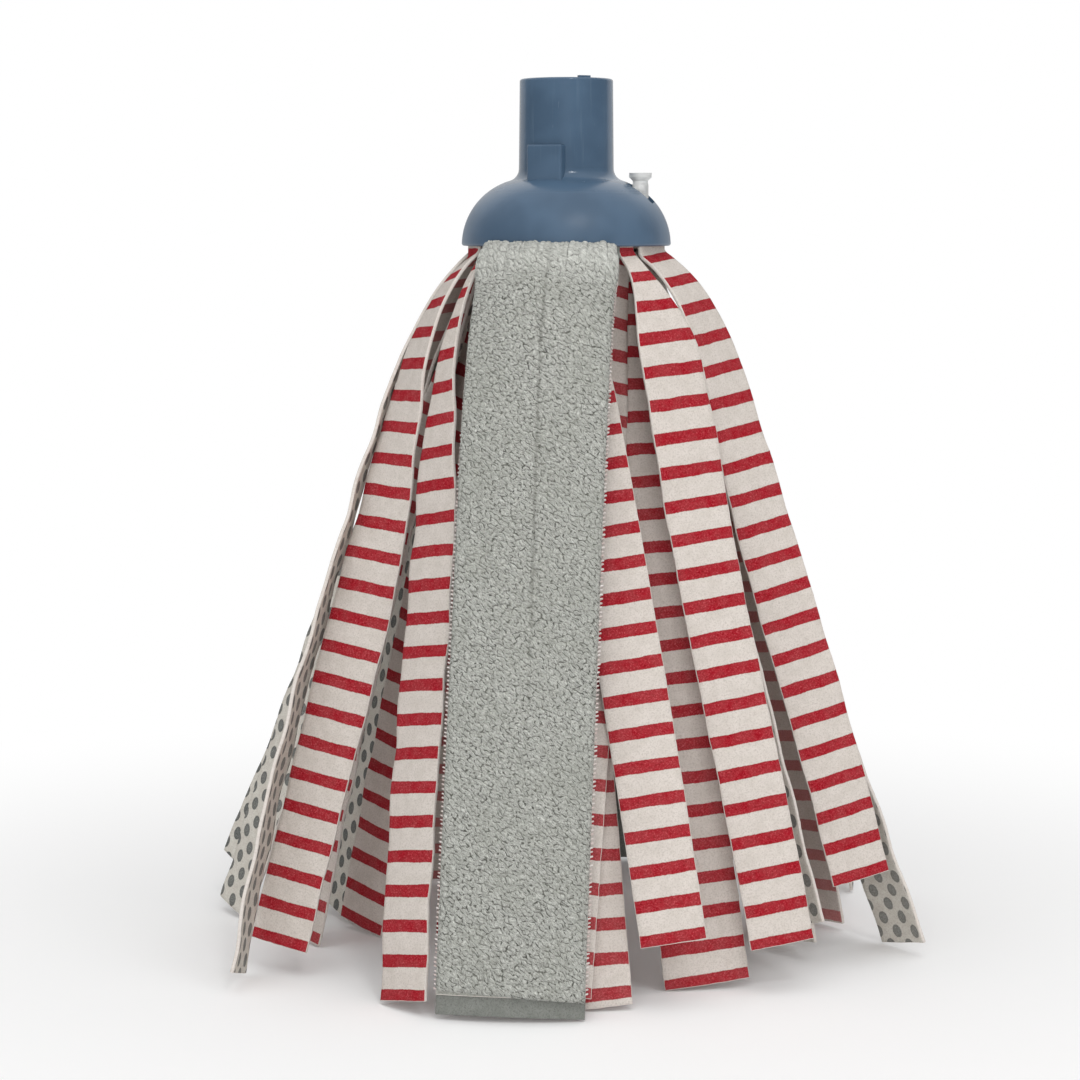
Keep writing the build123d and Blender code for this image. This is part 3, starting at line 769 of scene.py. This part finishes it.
def pileShell(name, hang, pileEnd, base, seed):
    look = pileLook
    total = look["roll"] + pileEnd - look["rollRun"]
    columns, rows = look["columns"], int(total / look["rowStep"])
    shell = addGrid(name, columns, rows)
    mesh = shell.data
    flat = np.array([v.co for v in mesh.vertices])
    order = np.lexsort((flat[:, 0], -flat[:, 1]))
    places = np.zeros((rows + 1, columns + 1, 3))
    rises = np.zeros((rows + 1, columns + 1))
    tonesAndShade = np.zeros((rows + 1, columns + 1))
    laid = np.zeros((rows + 1, columns + 1, 2))
    for j in range(columns + 1):
        side = 2 * j / columns - 1
        root = hang.place(side, 0)[0]
        low = hang.place(side, look["rollRun"], base)[0]
        turn = math.degrees(math.atan2(root.x, -root.y))
        turnLow = math.degrees(math.atan2(low.x, -low.y))
        uneven = 0.0
        for k, (rise, fineness) in enumerate(look["uneven"]):
            uneven += rise * noise.noise(Vector((side * fineness, seed, k + 0.5)))
        inside = min(hang.breadth(0) / 2 * (1 - abs(side)) / look["corner"], 1.0)
        outside = 1 - math.sqrt(inside * (2 - inside))
        topHeight = look["rimHeight"] + uneven - look["cornerDown"] * outside
        top = polar(turn, look["rimRadius"] - look["cornerIn"] * outside, topHeight)
        middle = polar((turn + turnLow) / 2, look["rollOut"], look["rimHeight"] + uneven)
        middle = middle.lerp((top + low) / 2, outside)
        lowEnd = pileEnd + bandCloth["tilt"] * side
        for i in range(rows + 1):
            down = (total + bandCloth["tilt"] * side) * i / rows
            if down < look["roll"]:
                q = down / look["roll"]
                places[i, j] = top * (1 - q) ** 2 + middle * (2 * q * (1 - q)) + low * (q * q)
                run = look["rollRun"] * q
            else:
                run = min(down - look["roll"] + look["rollRun"], lowEnd)
                places[i, j] = hang.place(side, run, base)[0]
            half = hang.breadth(hang.shareAt(run)) / 2
            edge = min(half * (1 - abs(side)) / look["edge"], 1.0)
            end = min((lowEnd - run) / look["edge"], 1.0)
            full = math.sqrt(edge * (2 - edge)) * math.sqrt(max(end * (2 - end), 0.0))
            high, toneAndShade = napAt(side * half, down, seed)
            grown = look["rollHigh"] + (1 - look["rollHigh"]) * ease(down / look["fullBy"])
            rises[i, j] = full * look["high"] * grown + high * min(1.0, 0.2 + full)
            tonesAndShade[i, j] = toneAndShade
            laid[i, j] = (side * half + look["shiftAcross"] * seed, down)
    last = look["smoothed"]
    for _ in range(last):
        places[1:last] = (places[:last - 1] + 2 * places[1:last] + places[2:last + 1]) / 4
    ahead = np.gradient(places, axis=0)
    wide = np.gradient(places, axis=1)
    out = np.cross(ahead, wide)
    out /= np.linalg.norm(out, axis=2, keepdims=True)
    places += out * rises[..., None]
    placed = np.empty((len(flat), 3), np.float32)
    placed[order] = places.reshape(-1, 3) * mm
    mesh.vertices.foreach_set("co", placed.ravel())
    shade = np.empty(len(flat), np.float32)
    shade[order] = np.clip(tonesAndShade, 0, 1).ravel()
    toned = mesh.attributes.new("toneAndShade", "FLOAT", "POINT")
    toned.data.foreach_set("value", shade)
    mesh.uv_layers.active.name = "OFBake"
    cloth = np.empty((len(flat), 2), np.float32)
    cloth[order] = laid.reshape(-1, 2)
    corner = np.empty(len(mesh.loops), np.int32)
    mesh.loops.foreach_get("vertex_index", corner)
    mesh.uv_layers.new(name="cloth").uv.foreach_set("vector", cloth[corner].ravel())
    mesh.materials.append(pileYarn)
    mesh.update()
    bpy.ops.object.shade_smooth()
    return shell


def hangBand(side, number):
    hung = dict(bandHang)
    if side == "back":
        for angle in ("root", "tip", "face"):
            hung[angle] += 180
    hang = Hang(**hung, free=True, curved=True)
    draw = random.Random(bandCloth["seed"] + number)
    tuck = bandCloth["tuck"]
    body = "scrub_band_" + side

    def bend(piece):
        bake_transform(piece)

    def layerAt(offset, top, low):
        def shape(sidePart, share):
            run = low + (top - low) * share
            place = hang.place(sidePart, run, offset)[0]
            across = sidePart * bandCloth["width"] / 2 + bandCloth["shiftAcross"] * number
            return place, (across, low - run)
        return shape

    rows = int(hang.length / bandCloth["rowStep"])
    backing = clothSheet("bandBacking." + side, bandCloth["columns"], rows, layerAt(0, -tuck, hang.length),
                         bandCloth["thickness"], [backingFelt, backingFelt, backingEdge])
    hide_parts(body + "_backing")
    bend(backing)

    front = bandCloth["thickness"] / 2 + bandCloth["apart"]
    groundAt = front + bandCloth["ground"] / 2
    groundTop = bandCloth["groundTop"]
    pileEnd = hang.length - bandCloth["tail"]
    ground = clothSheet("bandGround." + side, bandCloth["columns"], rows,
                        layerAt(groundAt, groundTop, pileEnd), bandCloth["ground"],
                        [pileGround, pileGround, cutEdge])
    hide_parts(body + "_pile")
    bend(ground)

    seed = pileLook["seed"] + pileLook["seedStep"] * number
    pile = pileShell("bandPile." + side, hang, pileEnd, front + bandCloth["pileBase"], seed)
    bend(pile)

    model = loopShape()
    for edge, label in ((-1, "left"), (1, "right")):
        spots = []
        for i in range(int((pileEnd - overlock["short"]) / overlock["pitch"])):
            stray = draw.uniform(-overlock["stray"], overlock["stray"])
            run = overlock["from"] + i * overlock["pitch"] + stray
            origin, out, wide, ahead = hang.place(edge, run, groundAt)
            origin = origin - wide * edge * (0.1 + draw.uniform(-0.2, 0.1))
            skewed = (ahead + wide * edge * overlock["lean"]).normalized()
            across = (wide - skewed * wide.dot(skewed)).normalized() * overlock["wide"]
            upward = out * overlock["high"] * draw.uniform(0.9, 1.1)
            spots.append((origin, across, upward, skewed * draw.uniform(0.9, 1.15), draw.random()))
        loops = copyAll("bandOverlock.{}.{}".format(side, label), model, spots, threadWhite)
        bend(loops)
    bpy.data.objects.remove(model)
    return len(pile.data.polygons)


for number, side in enumerate(("front", "back")):
    print("pile band", side, "faces:", hangBand(side, number))


# the pressed heads of the strips, pleated under the rim
heads = {
    "inner": 23.4, "outer": 29.3, "low": 224.7, "high": 238.0, "pleats": 46, "steps": 8, "columns": 4,
    "thickness": 0.9, "closing": 0.16, "lean": 1.3, "ragged": 0.5, "flatHigh": 13, "pleatWide": 6.5,
}


def headsShape(side, share):
    around = share * heads["pleats"] * 2
    turn = share * 360
    fold = 1 - abs((around % 2) - 1)
    rise = (side + 1) / 2
    middle = (heads["inner"] + heads["outer"]) / 2
    swing = (heads["outer"] - heads["inner"]) / 2 * (1 - heads["closing"] * rise)
    radius = middle - heads["lean"] * rise + swing * (2 * ease(fold) - 1)
    wobble = noise.noise(Vector((turn * 0.13, rise * 2, 4.0)))
    height = heads["low"] + (heads["high"] - heads["low"]) * rise
    if rise < 0.1:
        height += heads["ragged"] * abs(wobble)
    flat = (rise * heads["flatHigh"], around * heads["pleatWide"])
    return polar(turn + 1.2 * wobble, radius + 0.3 * wobble, height), flat


gathered = clothSheet("gatheredHeads", heads["columns"], heads["pleats"] * heads["steps"], headsShape,
                      heads["thickness"], [gatherFelt, gatherFelt, cutEdge], wear=0.1, edgeRound=0)
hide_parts("gathered_heads")
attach(gathered, "head")
print("heads gathered")


mouldedSkin, given, put = newGroup(
    "mouldedSkin",
    [("Place", "Vector", None)],
    [("Flow", "Float"), ("Scuff", "Float"), ("Height", "Float")],
)
tree = mouldedSkin
flow = noiseValue(tree, stretched(tree, given["Place"], (520, 520, 26)), 1.0, 3.0, 0.6)
scratch = noiseValue(tree, stretched(tree, given["Place"], (900, 900, 120), 30), 1.0, 4.0, 0.7, 1.5)
spots = noiseValue(tree, given["Place"], 170.0, 4.0, 0.7)
peel = noiseValue(tree, given["Place"], 900.0, 2.0)
tree.links.new(remap(tree, flow, 0.55, 0.8), put["Flow"])
scuff = calc(tree, "MULTIPLY", remap(tree, scratch, 0.6, 0.75), remap(tree, spots, 0.5, 0.7))
tree.links.new(scuff, put["Scuff"])
tree.links.new(calc(tree, "MULTIPLY_ADD", scuff, -0.5, peel), put["Height"])


def mouldedFinish(name, **sockets):
    material, tree, shader = newMaterial(name, **sockets)
    place = addNode(tree, "TexCoord").outputs["Object"]
    return material, tree, shader, place, useGroup(tree, mouldedSkin, Place=place)


# flow lines show on the neck alone; the neck is glossier than the dome; heights in m
capLook = {
    "colour": srgb(74, 97, 120), "pale": srgb(108, 127, 144), "deep": srgb(64, 86, 108),
    "neckFrom": 0.249, "neckTo": 0.256, "flow": 0.22, "scuff": 0.3,
    "glossFrom": 0.232, "glossTo": 0.25, "domeRough": 0.4, "neckRough": 0.2,
}
capPlastic, tree, shader, place, skin = mouldedFinish("capPlastic", Specular_IOR_Level=0.5)
height = addNode(tree, "SeparateXYZ", {0: place}).outputs[2]
neckShare = remap(tree, height, capLook["neckFrom"], capLook["neckTo"])
cloudy = remap(tree, noiseValue(tree, place, 60.0), 0.35, 0.7)
colour = mixColour(tree, cloudy, capLook["colour"], capLook["deep"])
flowing = calc(tree, "MULTIPLY", skin["Flow"], calc(tree, "MULTIPLY", neckShare, capLook["flow"]))
colour = mixColour(tree, flowing, colour, capLook["pale"])
colour = mixColour(tree, calc(tree, "MULTIPLY", skin["Scuff"], capLook["scuff"]), colour, capLook["pale"])
tree.links.new(colour, shader["Base Color"])
matt = remap(tree, height, capLook["glossFrom"], capLook["glossTo"],
             capLook["domeRough"], capLook["neckRough"])
tree.links.new(calc(tree, "MULTIPLY_ADD", skin["Scuff"], 0.25, matt), shader["Roughness"])
tree.links.new(addBump(tree, skin["Height"], 0.12, 0.0002), shader["Normal"])

retainerPlastic, tree, shader, _, skin = mouldedFinish("retainerPlastic")
colour = mixColour(tree, skin["Flow"], srgb(222, 221, 214), srgb(206, 205, 198))
tree.links.new(colour, shader["Base Color"])
tree.links.new(calc(tree, "MULTIPLY_ADD", skin["Scuff"], 0.2, 0.45), shader["Roughness"])
tree.links.new(addBump(tree, skin["Height"], 0.15, 0.0002), shader["Normal"])

pegPlastic, tree, shader, _, skin = mouldedFinish("pegPlastic", Transmission_Weight=0.55, IOR=1.49,
                                                  Roughness=0.32)
colour = mixColour(tree, skin["Flow"], srgb(240, 241, 240), srgb(226, 228, 228))
tree.links.new(colour, shader["Base Color"])
tree.links.new(addBump(tree, skin["Height"], 0.2, 0.0002), shader["Normal"])

finishes = {"socket_cap": capPlastic, "strip_retainer": retainerPlastic, "hanger_peg": pegPlastic}
for node, material in finishes.items():
    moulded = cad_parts[node]
    moulded.data.materials.clear()
    moulded.data.materials.append(material)
print("moulded pieces finished")
